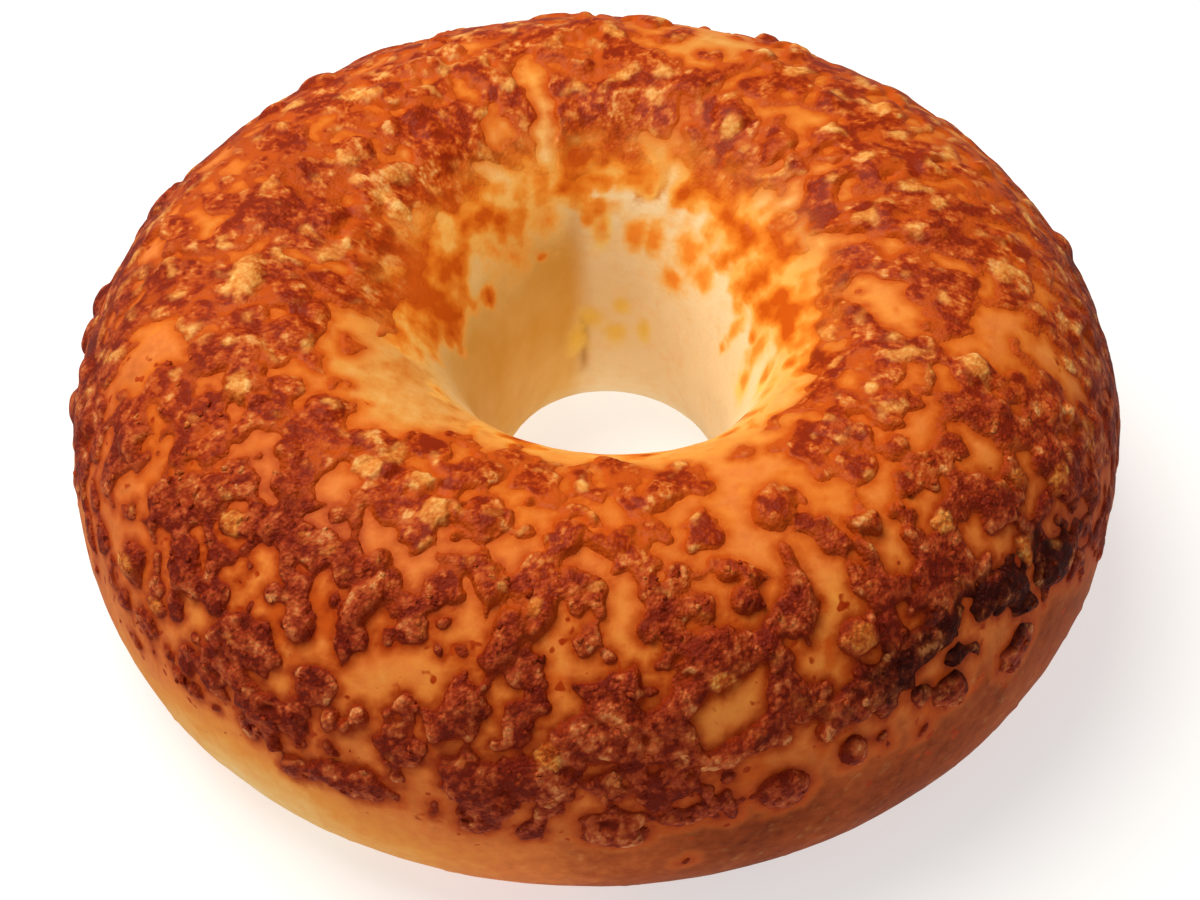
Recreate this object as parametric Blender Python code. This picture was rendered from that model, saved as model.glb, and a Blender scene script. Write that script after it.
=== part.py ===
"""An asiago bagel: a ring of boiled and baked dough with shredded cheese browned onto its top
and shoulder. Metres, +Z up. The bagel rests on its flat base at z = 0, with the middle of its
outer box over the origin. The browned front is towards -Y."""

import math
import random

import bpy
from mathutils import Vector, noise

MM = 0.001

# The ring of dough. A place on it has two angles: "turn" is the way round about +Z, from +X
# towards +Y, and "over" is the way over the roll, 0 outwards, 90 up and 180 into the hole.
OUTER_RADIUS = 56.0 * MM
THROAT_RADIUS = 13.5 * MM
HEIGHT = 41.0 * MM
WIDEST_LEVEL = 17.2 * MM
BASE_CUT = 2.5 * MM  # how far the roll would reach below the flat base
BASE_FILLET = 0.9 * MM
TOP_FULLNESS = 2.2  # of the section: 2 is an ellipse, and more is squarer
UNDER_FULLNESS = 2.45
RING_CENTRE = Vector((0.597 * MM, 0.805 * MM, 0.0))  # from the middle of the outer box
# The hand-rolled unevenness: cosine and sine millimetres of 1, 2, 3 and more swells in a turn
OUTER_SWELLS = ((-0.74, -0.32), (0.97, 0.09), (0.41, 0.03), (0.08, 0.12))
THROAT_SWELLS = ((0.94, -0.01), (-0.73, 0.23), (-0.19, -1.2))
HEIGHT_SWELLS = ((0.13, 0.21), (0.45, 0.48))
STEPS_ROUND = 64
STEPS_OVER = 26

# Where the cheese lies, in degrees over the roll, with edges that wander
CHEESE_OUTER_EDGE = 10.0
CHEESE_INNER_EDGE = 122.0
EDGE_WANDER = 12.0
EDGE_FADE = 9.0
# Where its outer edge runs higher or lower: turn, half width in turn and lift over the roll
EDGE_DRIFTS = ((318, 22, 14.0), (258, 26, -8.0), (208, 16, 6.0))
# Islands of bare dough: turn, over, and half their length round and over in millimetres
BARE_ISLANDS = (
    (294, 79, 3.5, 8.0), (300, 60, 3.0, 7.0), (272, 66, 3.5, 6.0), (254, 52, 5.0, 5.0),
    (247, 42, 5.0, 3.5), (228, 52, 3.0, 5.0), (207, 50, 5.0, 9.0), (191, 60, 5.0, 7.0),
    (217, 114, 7.0, 5.5), (351, 74, 5.0, 4.0), (355, 104, 4.0, 3.0), (75, 68, 5.5, 8.0),
    (104, 104, 2.0, 10.0), (143, 135, 6.0, 5.0), (305, 108, 9.0, 6.0), (285, 38, 3.0, 3.0),
)
# The cheese lumps that stand out: turn, over, length, width and the length's lean from level
LONE_LUMPS = (
    (289, 65, 3.2, 3.0, 0), (299, 87, 6.5, 5.0, 60), (211, 27, 4.5, 4.0, 0),
    (235, 46, 4.0, 3.5, 0), (232, 20, 9.0, 5.0, -30), (243, 9, 8.0, 4.5, 10),
    (257, 19, 8.0, 7.0, 0), (284, 52, 8.0, 6.0, 30), (285, 28, 8.5, 3.6, 25),
    (290, 11, 6.5, 5.0, 0), (298, 16, 3.6, 4.0, 0), (300, 30, 9.0, 5.0, -10),
    (311, 19, 4.0, 5.0, 0), (272, 3, 9.0, 4.5, 5), (301, 48, 4.6, 4.2, 0),
    (296, 62, 10.0, 3.4, 80), (342, 78, 4.5, 4.0, 0), (181, 84, 7.5, 3.5, 0),
    (310, 38, 9.0, 5.0, 10), (321, 36, 9.0, 5.5, -5), (331, 28, 8.0, 5.0, -10),
    (255, 38, 10.0, 4.0, 60), (259, 58, 9.0, 4.0, 80), (241, 57, 8.0, 3.5, 70),
    (270, 35, 10.0, 8.0, 0), (264, 22, 8.0, 6.0, 0), (279, 42, 8.0, 4.0, 40),
    (251, 87, 5.0, 4.0, 0),
)
# The rest, largest first: how many, length, width, rise over the dough and corners
LUMP_SIZES = (
    (50, 8.4, 6.0, 0.9, 7),
    (50, 5.4, 4.2, 1.0, 6),
    (50, 3.4, 3.0, 0.9, 5),
)
LONE_RISE = 1.1 * MM
LONE_CORNERS = 7
CLOSEST = 0.5  # of two lumps' mean length, between their middles
DOME_RINGS = ((0.6, 0.85), (1.08, -0.4))  # of the half width and of the rise
LUMP_ROOT = 1.6 * MM  # how deep a lump is bedded in the dough
SEED = 34


def swelled(mean, swells, turn):
    """A mean size plus its swells at this turn."""
    waves = enumerate(swells, 1)
    return mean + MM * sum(c * math.cos(k * turn) + s * math.sin(k * turn) for k, (c, s) in waves)


def place(turn, over, rise=0.0):
    """The point of the dough at these angles in radians, lifted by rise along the section."""
    outer = swelled(OUTER_RADIUS, OUTER_SWELLS, turn)
    throat = swelled(THROAT_RADIUS, THROAT_SWELLS, turn)
    middle = (outer + throat) / 2
    half = (outer - throat) / 2
    if math.sin(over) > 0:
        tall = swelled(HEIGHT, HEIGHT_SWELLS, turn) - WIDEST_LEVEL
        fullness = TOP_FULLNESS
    else:
        tall = WIDEST_LEVEL + BASE_CUT
        fullness = UNDER_FULLNESS
    spread = abs(math.cos(over) / half) ** fullness + abs(math.sin(over) / tall) ** fullness
    reach = spread ** (-1 / fullness) + rise
    level = WIDEST_LEVEL + reach * math.sin(over)
    if abs(level) < BASE_FILLET:
        level = (level + BASE_FILLET) ** 2 / (4 * BASE_FILLET)
    radius = middle + reach * math.cos(over)
    flat = Vector((radius * math.cos(turn), radius * math.sin(turn), max(level, 0.0)))
    return flat + RING_CENTRE


def angles(point):
    """The turn and over angles of a point near the dough."""
    spot = point - RING_CENTRE
    turn = math.atan2(spot.y, spot.x)
    outer = swelled(OUTER_RADIUS, OUTER_SWELLS, turn)
    throat = swelled(THROAT_RADIUS, THROAT_SWELLS, turn)
    out = math.hypot(spot.x, spot.y) - (outer + throat) / 2
    return turn, math.atan2(spot.z - WIDEST_LEVEL, out)


def away(turn, over, spot):
    """How far round and over the roll, in millimetres, this place is from a named spot."""
    round_it = (turn - spot[0] + 180) % 360 - 180
    middle = (OUTER_RADIUS + THROAT_RADIUS) / 2
    half = (OUTER_RADIUS - THROAT_RADIUS) / 2
    radius = middle + half * math.cos(math.radians(over))
    return math.radians(round_it) * radius / MM, math.radians(over - spot[1]) * half / MM


def drifted(spot, size, reach):
    """The spot moved by up to this reach, in waves of this size."""
    shifts = (Vector((shift, 0.0, 0.0)) for shift in (20.0, 40.0, 60.0))
    return spot + reach * Vector([noise.noise(spot / size + shift) for shift in shifts])


def cheese_cover(turn, over):
    """How surely cheese lies at these degrees: above 0 it does, below 0 the dough is bare."""
    spot = (place(math.radians(turn), math.radians(over)) - RING_CENTRE) / MM
    ropes = 1 - 3.0 * abs(noise.noise(drifted(spot, 7.0, 3.5) / 5.0))
    broad = noise.noise(spot / 12.0 + Vector((7.0, 0.0, 0.0)))
    fine = noise.noise(spot / 1.9 + Vector((0.0, 3.0, 0.0)))
    crown = math.exp(-(((over - 88) / 42) ** 2))
    far_side = 0.5 + 0.5 * math.sin(math.radians(turn - 20))
    cover = 0.5 * ropes + 0.35 * broad + 0.45 * fine + 0.3 * crown + 0.25 * far_side - 0.16
    wander = EDGE_WANDER * noise.noise(spot / 8.0 + Vector((0.0, 0.0, 5.0)))
    edge = CHEESE_OUTER_EDGE + wander
    edge += sum(lift * math.exp(-(((turn - at) / half) ** 2)) for at, half, lift in EDGE_DRIFTS)
    cover -= max(0.0, (edge - over) / EDGE_FADE)
    cover -= max(0.0, (over - CHEESE_INNER_EDGE - wander - 10 * far_side) / EDGE_FADE)
    for island in BARE_ISLANDS:
        along, across = away(turn, over, island)
        cover -= 2 * max(0.0, 1.2 - math.hypot(along / island[2], across / island[3]))
    return cover


def lump(turn, over, length, width, lean, rise, corners, dice):
    """A low irregular dome of cheese, bedded in the dough, as its points and faces."""
    middle = place(math.radians(turn), math.radians(over))
    step = math.radians(1.0)
    round_it = (place(math.radians(turn) + step, math.radians(over)) - middle).normalized()
    over_it = (place(math.radians(turn), math.radians(over) + step) - middle).normalized()
    along = round_it * math.cos(math.radians(lean)) + over_it * math.sin(math.radians(lean))
    across = over_it * math.cos(math.radians(lean)) - round_it * math.sin(math.radians(lean))
    points = [place(*angles(middle), rise * dice.uniform(0.9, 1.2))]
    for reach, height in DOME_RINGS:
        for corner in range(corners):
            bearing = math.tau * (corner + dice.uniform(-0.2, 0.2)) / corners
            stretch = reach * dice.uniform(0.82, 1.15) / 2
            spot = middle + along * (length * stretch * math.cos(bearing))
            spot += across * (width * stretch * math.sin(bearing))
            points.append(place(*angles(spot), rise * height * dice.uniform(0.75, 1.2)))
    points.append(place(*angles(middle), -LUMP_ROOT))
    faces = []
    for corner in range(corners):
        here, there = 1 + corner, 1 + (corner + 1) % corners
        faces.append((0, here, there))
        faces.append((here, here + corners, there + corners))
        faces.append((here, there + corners, there))
        faces.append((here + corners, len(points) - 1, there + corners))
    return points, faces


def lump_sizes():
    """Every lump's turn, over, length, width, lean, rise and corners, the largest first."""
    dice = random.Random(SEED)
    lumps = [(t, o, l * MM, w * MM, lean, LONE_RISE, LONE_CORNERS) for t, o, l, w, lean in LONE_LUMPS]
    for count, length, width, rise, corners in LUMP_SIZES:
        wanted = len(lumps) + count
        while len(lumps) < wanted:
            turn = dice.uniform(0, 360)
            over = dice.uniform(CHEESE_OUTER_EDGE - 12, CHEESE_INNER_EDGE + 10)
            size = length * dice.uniform(0.8, 1.2) * MM
            if cheese_cover(turn, over) < 0.1:
                continue
            spot = place(math.radians(turn), math.radians(over))
            gaps = (
                (spot - place(math.radians(other[0]), math.radians(other[1]))).length
                / ((size + other[2]) / 2)
                for other in lumps
            )
            if min(gaps) < CLOSEST:
                continue
            wide = width * dice.uniform(0.8, 1.15) * MM
            lean = dice.uniform(-90, 90)
            lumps.append((turn, over, size, wide, lean, rise * dice.uniform(0.85, 1.2) * MM, corners))
    return lumps


def make_dough(material):
    """The ring: a plain torus whose points are moved to their places on the uneven roll."""
    middle = (OUTER_RADIUS + THROAT_RADIUS) / 2
    bpy.ops.mesh.primitive_torus_add(
        major_segments=STEPS_ROUND,
        minor_segments=STEPS_OVER,
        major_radius=middle,
        minor_radius=(OUTER_RADIUS - THROAT_RADIUS) / 2,
    )
    ring = bpy.context.object
    ring.name = "bagel"
    for vertex in ring.data.vertices:
        turn = math.atan2(vertex.co.y, vertex.co.x)
        over = math.atan2(vertex.co.z, math.hypot(vertex.co.x, vertex.co.y) - middle)
        vertex.co = place(turn, over)
    ring.data.materials.append(material)
    return ring


def make_cheese(material):
    """A collection with one small mesh for each lump."""
    dice = random.Random(SEED)
    cheese = bpy.data.collections.new("cheese")
    bpy.context.scene.collection.children.link(cheese)
    for sizes in lump_sizes():
        points, faces = lump(*sizes, dice)
        mesh = bpy.data.meshes.new("cheese_lump")
        mesh.from_pydata([tuple(point) for point in points], [], faces)
        mesh.materials.append(material)
        cheese.objects.link(bpy.data.objects.new("cheese_lump", mesh))
    return cheese


def fuse(ring, cheese):
    """One union joins the lumps to the dough; the lumps' own objects are then removed."""
    union = ring.modifiers.new("cheese", "BOOLEAN")
    union.operation = "UNION"
    union.operand_type = "COLLECTION"
    union.collection = cheese
    union.solver = "MANIFOLD"
    bpy.context.view_layer.objects.active = ring
    bpy.ops.object.modifier_apply(modifier=union.name)
    for helper in list(cheese.objects):
        bpy.data.objects.remove(helper, do_unlink=True)
    bpy.data.collections.remove(cheese)


def coloured(name, colour, roughness):
    material = bpy.data.materials.new(name)
    material.use_nodes = True
    shader = material.node_tree.nodes["Principled BSDF"]
    shader.inputs["Base Color"].default_value = (*colour, 1.0)
    shader.inputs["Roughness"].default_value = roughness
    shader.inputs["Metallic"].default_value = 0.0
    return material


def main():
    for thing in list(bpy.data.objects):
        bpy.data.objects.remove(thing, do_unlink=True)
    ring = make_dough(coloured("baked crust", (0.62, 0.24, 0.055), 0.42))
    fuse(ring, make_cheese(coloured("browned cheese", (0.26, 0.055, 0.014), 0.5)))
    ring.data.shade_smooth()
    ring.data.set_sharp_from_angle(angle=math.radians(35))


main()
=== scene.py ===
import math
import random

import bpy
import numpy as np
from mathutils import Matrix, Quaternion, Vector, kdtree, noise


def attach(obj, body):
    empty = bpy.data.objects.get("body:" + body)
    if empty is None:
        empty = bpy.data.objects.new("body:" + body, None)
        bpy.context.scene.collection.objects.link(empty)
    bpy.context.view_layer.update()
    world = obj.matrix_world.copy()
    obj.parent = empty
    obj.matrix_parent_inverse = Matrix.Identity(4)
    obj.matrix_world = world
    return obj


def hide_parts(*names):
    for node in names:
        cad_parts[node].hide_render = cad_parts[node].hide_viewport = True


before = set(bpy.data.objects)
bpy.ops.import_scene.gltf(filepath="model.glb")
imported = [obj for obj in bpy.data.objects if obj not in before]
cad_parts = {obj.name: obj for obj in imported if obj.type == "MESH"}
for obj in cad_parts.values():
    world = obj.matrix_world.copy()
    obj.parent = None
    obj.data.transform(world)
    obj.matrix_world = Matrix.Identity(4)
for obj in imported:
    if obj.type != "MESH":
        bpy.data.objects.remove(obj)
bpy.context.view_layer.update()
bpy.ops.object.select_all(action="DESELECT")

# The roll: a rope of yeast dough rolled by hand, joined end to end, boiled and baked on a flat
# sheet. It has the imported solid's own form: a full oval section, flat where it lay, with a low
# throat, and it swells and thins a little on the way round.
mm = 0.001
outer_radius = 56.0 * mm
throat_radius = 13.5 * mm
mean_radius = (outer_radius + throat_radius) / 2
half_width = (outer_radius - throat_radius) / 2
roll_height = 41.0 * mm
widest_level = 17.2 * mm
base_cut = 2.5 * mm
base_fillet = 0.9 * mm
top_fullness = 2.2
under_fullness = 2.45
ring_centre = np.array((0.597, 0.805, 0.0)) * mm
outer_swells = ((-0.74, -0.32), (0.97, 0.09), (0.41, 0.03), (0.08, 0.12))
throat_swells = ((0.94, -0.01), (-0.73, 0.23), (-0.19, -1.2))
height_swells = ((0.13, 0.21), (0.45, 0.48))


def swelled(mean, swells, turn):
    """A mean size plus its swells, given as cosine and sine millimetres, at this turn."""
    waves = enumerate(swells, 1)
    return mean + mm * sum(c * np.cos(k * turn) + s * np.sin(k * turn) for k, (c, s) in waves)


def section(turn, over):
    """The middle of the roll's section at this turn, and its reach at this angle over the roll."""
    outer = swelled(outer_radius, outer_swells, turn)
    throat = swelled(throat_radius, throat_swells, turn)
    upper = np.sin(over) > 0
    top = swelled(roll_height, height_swells, turn) - widest_level
    tall = np.where(upper, top, widest_level + base_cut)
    fullness = np.where(upper, top_fullness, under_fullness)
    out = np.abs(np.cos(over) / ((outer - throat) / 2)) ** fullness
    up = np.abs(np.sin(over) / tall) ** fullness
    return (outer + throat) / 2, (out + up) ** (-1 / fullness)


def on_roll(turn, over, rise=0.0):
    """Points of the dough's surface at these angles in degrees, lifted by rise."""
    turn, over = np.radians(turn), np.radians(over)
    middle, reach = section(turn, over)
    reach = reach + rise
    radius = middle + reach * np.cos(over)
    level = widest_level + reach * np.sin(over)
    rounded = (level + base_fillet) ** 2 / (4 * base_fillet)
    level = np.where(np.abs(level) < base_fillet, rounded, np.maximum(level, 0.0))
    return np.stack((radius * np.cos(turn), radius * np.sin(turn), level), -1) + ring_centre


def grain(points, size, shift=(0.0, 0.0, 0.0)):
    """Smooth noise of about -1 to 1 at each point, in waves of this size."""
    spots = (points / size + np.array(shift)).reshape(-1, 3).tolist()
    return np.array([noise.noise(spot) for spot in spots]).reshape(points.shape[:-1])


def step(low, high, value):
    """0 up to low, 1 from high on, and a smooth slope between."""
    share = np.clip((value - low) / (high - low), 0, 1)
    return share * share * (3 - 2 * share)


def hump(value, middle, half):
    """1 at the middle, falling off smoothly to about a third at half to each side."""
    return np.exp(-(((value - middle) / half) ** 2))


def turned_from(turn, centre):
    """How many degrees round from a centre each place is, -180 to 180."""
    return (turn - centre + 180) % 360 - 180


def frontward(turn):
    """1 on the side nearest the camera, 0 at the left and right, -1 on the far side."""
    return -np.sin(np.radians(turn))


def farness(turn):
    """1 at the far side, a little to the left of its middle, and 0 opposite."""
    return 0.5 + 0.5 * np.sin(np.radians(turn - 20))


def away(turn, over, spot):
    """How far round and over the roll, in millimetres, these places are from a named spot."""
    radius = mean_radius + half_width * np.cos(np.radians(over))
    along = np.radians(turned_from(turn, spot[0])) * radius / mm
    return along, np.radians(over - spot[1]) * half_width / mm


def near(turn, over, spots):
    """1 at the middle of the nearest soft-edged spot, given with half its size, and 0 away."""
    most = np.zeros(np.shape(turn))
    for spot in spots:
        along, across = away(turn, over, spot)
        most = np.maximum(most, np.exp(-((along / spot[2]) ** 2) - (across / spot[3]) ** 2))
    return most


def measure(thing, name, values):
    """Keeps one number for each of a piece's points, for its material to read."""
    layer = thing.data.attributes.new(name, "FLOAT", "POINT")
    layer.data.foreach_set("value", np.asarray(values, dtype=np.float32).ravel())


# The lie of the cheese: shreds strewn over the top and shoulder melted into a net of patches
# with bare islands between. Its rule is the one by which the solid's lumps were set out.
cheese_outer_edge = 10.0
cheese_inner_edge = 122.0
edge_wander = 12.0
wander_width = 8.0
edge_fade = 9.0
edge_drifts = ((318, 22, 14.0), (258, 26, -8.0), (208, 16, 6.0))
crown = (88, 42)
strand_width = 5.0
strand_drift = 3.5
drift_width = 7.0
heap_width = 12.0
fringe_width = 1.9
island_reach = 1.2
further_in_at_back = 10
bare_islands = (
    (294, 79, 3.5, 8.0), (300, 60, 3.0, 7.0), (272, 66, 3.5, 6.0), (254, 52, 5.0, 5.0),
    (247, 42, 5.0, 3.5), (228, 52, 3.0, 5.0), (207, 50, 5.0, 9.0), (191, 60, 5.0, 7.0),
    (217, 114, 7.0, 5.5), (351, 74, 5.0, 4.0), (355, 104, 4.0, 3.0), (75, 68, 5.5, 8.0),
    (104, 104, 2.0, 10.0), (143, 135, 6.0, 5.0), (305, 108, 9.0, 6.0), (285, 38, 3.0, 3.0),
)


def drifts(spot, width, shifts):
    """How each place wanders three ways, so that what lies on the roll has ragged outlines."""
    return np.stack([grain(spot, width, (shift, 0, 0)) for shift in shifts], -1)


def cheese_cover(turn, over, inner_edge=cheese_inner_edge):
    """How surely cheese lies at these degrees: above 0 it does, below 0 the dough is bare."""
    spot = (on_roll(turn, over) - ring_centre) / mm
    drift = drifts(spot, drift_width, (20, 40, 60))
    strands = 1 - 3.0 * np.abs(grain(spot + strand_drift * drift, strand_width))
    heaps = grain(spot, heap_width, (7, 0, 0))
    fringe = grain(spot, fringe_width, (0, 3, 0))
    top = hump(over, *crown)
    far = farness(turn)
    cover = 0.5 * strands + 0.35 * heaps + 0.45 * fringe + 0.3 * top + 0.25 * far - 0.16
    wander = edge_wander * grain(spot, wander_width, (0, 0, 5))
    outer = cheese_outer_edge + wander
    outer = outer + sum(lift * hump(turn, at, half) for at, half, lift in edge_drifts)
    cover = cover - np.maximum(0, (outer - over) / edge_fade)
    past_inner = over - inner_edge - wander - further_in_at_back * far
    cover = cover - np.maximum(0, past_inner / edge_fade)
    for island in bare_islands:
        along, across = away(turn, over, island)
        gap = np.hypot(along / island[2], across / island[3])
        cover = cover - 2 * np.maximum(0, island_reach - gap)
    return cover


strewn_islands = (
    (191, 74, 5.0, 4.0), (207, 66, 5.0, 5.0), (228, 54, 4.0, 4.0), (309, 112, 6.0, 4.0),
    (203, 55, 3.5, 3.5),
)
specked_islands = (
    (254, 52, 5.0, 5.0), (191, 55, 4.5, 4.5), (207, 42, 4.5, 5.0), (300, 60, 3.5, 5.0),
    (351, 74, 4.0, 3.0), (75, 68, 4.0, 4.0),
)
fuller_right = ((318, 33, 12.0, 4.0), (338, 55, 16.0, 12.0))
fuller_left = ((222, 74, 18.0, 12.0), (270, 100, 20.0, 7.0), (300, 92, 8.0, 8.0))
bare_gold = ((216, 115, 8.5, 5.5), (206, 109, 4.0, 3.5), (71, 77, 6.5, 3.2))
patch_size = 3.1
patch_drift = 0.7
speck_size = 1.6
speck_drift = 0.4
lace_drift_width = 2.8
usual_depth = 0.42
barest_cover = -1.7
surest_cover = 0.3
drop_radius = 0.75
drop_reach = 0.95
drop_gap = 0.25
missing_drops = 0.33
number_mix = (12.9898, 78.233, 37.719)
number_spread = 43758.5


def granules(points, size):
    """Rounded drops of about this size, some of them missing: how high each place is on its own
    drop, a number of that drop's own, how near the place is to the gap beside it, and how deep
    it is in the drops that ran together there, each about 0 to 1."""
    cells = [noise.voronoi(spot) for spot in (points / size).reshape(-1, 3).tolist()]
    shape = points.shape[:-1]
    gaps = np.array([cell[0] for cell in cells]).reshape(*shape, 4)
    middles = np.array([cell[1] for cell in cells]).reshape(*shape, 4, 3)
    own = np.modf(np.abs(np.sin(middles @ number_mix) * number_spread))[0]
    deep = (np.maximum(0, 1 - (gaps / drop_reach) ** 2) ** 2 * (own > missing_drops)).sum(-1)
    high = np.sqrt(np.maximum(0, 1 - (gaps[..., 0] / drop_radius) ** 2))
    gap = 1 - step(0, drop_gap, gaps[..., 1] - gaps[..., 0])
    return high, own[..., 0], gap, deep


def laced(turn, over, cover):
    """The cover broken up into round-edged patches and specks of 1 to 5 mm, as shreds of cheese
    run and draw together."""
    spot = (on_roll(turn, over) - ring_centre) / mm
    drift = drifts(spot, lace_drift_width, (80, 100, 120))
    patches = granules(spot + patch_drift * drift, patch_size)[3] - usual_depth
    specks = granules(spot + speck_drift * drift + 5, speck_size)[3] - usual_depth
    front = step(0.0, 0.6, frontward(turn))
    cover = np.clip(cover, barest_cover, surest_cover)
    cover = cover + 1.0 * near(turn, over, strewn_islands)
    cover = cover + 0.6 * near(turn, over, specked_islands)
    cover = cover + 0.3 * near(turn, over, fuller_right)
    cover = cover + 0.35 * near(turn, over, fuller_left)
    cover = cover - 1.5 * near(turn, over, bare_gold)
    return 0.6 * np.minimum(cover, 0.45) + 0.75 * patches + 0.42 * specks + 0.12 - 0.2 * front


film_inner_edge = 134.0
film_low_end = (5, -7)
film_thins = (122, 150)
film_blotches = (112, 125)
blotch_width = 3.2 * mm
throat_begins = (108, 128)
throat_sides = (155, 10)
side_half = 32
side_reach = 10
film_runs = ((162, 127, 14.0, 6.0), (128, 133, 8.0, 4.0))
film_patches = (
    (162, 139, 6.0, 4.5), (184, 146, 5.0, 4.0), (127, 143, 4.0, 3.5), (12, 134.5, 3.5, 3.0),
    (351, 131.5, 4.0, 3.0), (35, 134.5, 3.0, 2.5), (5, 141, 2.0, 2.0), (345, 139, 2.5, 2.0),
)


def reach_down(turn):
    """How many degrees further the film runs down the throat's two sides than at its back."""
    left, right = throat_sides
    left_side = hump(turn, left, side_half)
    return side_reach * (left_side + hump(turned_from(turn, right), 0, side_half))


def film_at(turn, over):
    """How surely melted cheese and its fat lie on the dough at these degrees, even as a clear
    film only: above 0 they do."""
    film = laced(turn, over, cheese_cover(turn, over, film_inner_edge))
    film = film - 0.6 * step(*film_low_end, over)
    blotches = grain(on_roll(turn, over), blotch_width, (6, 1, 0))
    film = film + 0.5 * blotches * step(*film_blotches, over)
    film = film - 1.4 * step(*film_thins, over - reach_down(turn))
    return film + 0.45 * near(turn, over, film_runs) + 0.4 * near(turn, over, film_patches)


scorched_turn = (319, 19)
scorched_over = (33, 13)
browner_left = ((224, 60, 20.0, 14.0),)


def browning(turn, over):
    """How far the cheese is browned: about 0 at the throat, 0.8 low in front, over 1 burnt."""
    low_front = step(0.0, 0.85, frontward(turn)) * step(98, 36, over)
    low_down = step(65, 25, over)
    scorched = hump(turn, *scorched_turn) * hump(over, *scorched_over)
    on_top = step(60, 100, over) * step(125, 100, over)
    sideways = step(0.7, 1.0, np.abs(np.cos(np.radians(turn + 8)))) * step(110, 85, over)
    heat = np.maximum(0.8 * low_front, 0.55 * low_down)
    heat = heat + 1.2 * scorched + 0.1 * on_top
    heat = heat + 0.14 * near(turn, over, browner_left) + 0.18 * sideways
    return heat + 0.16 * grain(on_roll(turn, over), 7 * mm, (0, 0, 3))


# The dough ring itself: one closed skin, finest over the top and shoulder, with the slight dents
# of the hands, the joint where the rope's ends were pressed together and small blisters low down.
# Baking browned it from pale crumb in the throat to deep brown on the lower right. Its colour also
# carries painted shade low on the right and painted light low on the left.
torus_radius = 0.035
finest_over = 65
crowding = 26
bpy.ops.mesh.primitive_torus_add(
    major_segments=256, minor_segments=80, major_radius=torus_radius, minor_radius=0.02
)
bpy.ops.object.mode_set(mode="EDIT")
bpy.ops.mesh.select_all(action="SELECT")
bpy.ops.mesh.subdivide(number_cuts=1)
bpy.ops.object.mode_set(mode="OBJECT")
dough = bpy.context.object
dough.name = "dough_ring"
flat = np.empty(len(dough.data.vertices) * 3)
dough.data.vertices.foreach_get("co", flat)
flat = flat.reshape(-1, 3)
turn = np.degrees(np.arctan2(flat[:, 1], flat[:, 0])) % 360
over = np.degrees(np.arctan2(flat[:, 2], np.hypot(flat[:, 0], flat[:, 1]) - torus_radius))
over = over - crowding * np.sin(np.radians(over - finest_over))
over = (over + 90) % 360 - 90
skin = on_roll(turn, over)
joint_turn = 97
joint_half = 1.3
joint_depth = 0.55
from_joint, _ = away(turn, over, (joint_turn, 90))
joint = hump(from_joint, 0, joint_half) * step(118, 150, over) * step(235, 200, over)


def dents_of(points):
    """The dough's own unevenness, in millimetres."""
    return 0.22 * grain(points, 14 * mm) + 0.1 * grain(points, 5 * mm)


blisters = np.maximum(0, grain(skin, 1.3 * mm, (9, 0, 0)) - 0.4) * 0.45 * step(60, 20, over)
wrinkles = 0.05 * grain(skin, 1.8 * mm, (2, 7, 0))
rise = dents_of(skin) + blisters + wrinkles - joint_depth * joint
rise = rise * step(-55, -20, over) * step(235, 200, over)
dough.data.vertices.foreach_set("co", on_roll(turn, over, rise * mm).ravel())
dough.data.shade_smooth()
film = film_at(turn, over)

# How dark the dough's crust is, 0 pale to 1 dark: a little more baked at the left front, and much
# darker low down at the right, partly a browner crust and partly painted shade on the side away
# from the light. Low down at the left it is paler, partly a paler crust and partly painted light
# thrown up from the floor.
usual_bake = 0.47
base_bake = 0.6
base_edges = (-58, 238)
deeper_baked = ((200, 60, 16.0, 16.0), (340, 65, 18.0, 18.0))
ruddy_left = ((248, 48, 15.0, 9.0),)
# Low on the right: browner crust with painted shade added. Low on the left: paler crust with
# painted light from the floor added.
browner_shaded_right = hump(turn, 318, 42) + hump(turn + 360, 318, 42)
paler_lit_left = hump(turn, 232, 24) * step(14, -25, over)
low_front = hump(turn, 283, 16) * step(20, -5, over)
front_shoulder = step(0.3, 0.9, frontward(turn)) * hump(over, 32, 22)
back_crown = step(-0.3, 0.4, -frontward(turn)) * step(118, 90, over)
bake = usual_bake + 0.06 * np.cos(np.radians(turn - 250))
bake = bake + 0.1 * frontward(turn) * step(60, 90, over)
# Darker low down, most at the right, where painted shade joins the browning; paler at the lower
# left, partly painted light.
bake = bake + (0.14 + 0.24 * browner_shaded_right) * step(58, 5, over) + 0.12 * low_front
bake = bake - 0.5 * paler_lit_left - 0.1 * front_shoulder + 0.09 * back_crown
bake = bake + 0.16 * near(turn, over, deeper_baked) + 0.08 * near(turn, over, ruddy_left)
bake = bake + 0.07 * grain(skin, 9 * mm)

# The throat stays pale: paler toward it, and palest where the cheese's fat doesn't reach.
bake = bake - 0.2 * step(92, 122, over)
bake = bake - 0.36 * step(118, 146, over - 0.8 * reach_down(turn))
on_base = (over < base_edges[0]) | (over > base_edges[1])
bake = np.where(on_base, base_bake + 0.1 * grain(skin, 12 * mm), bake)
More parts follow.
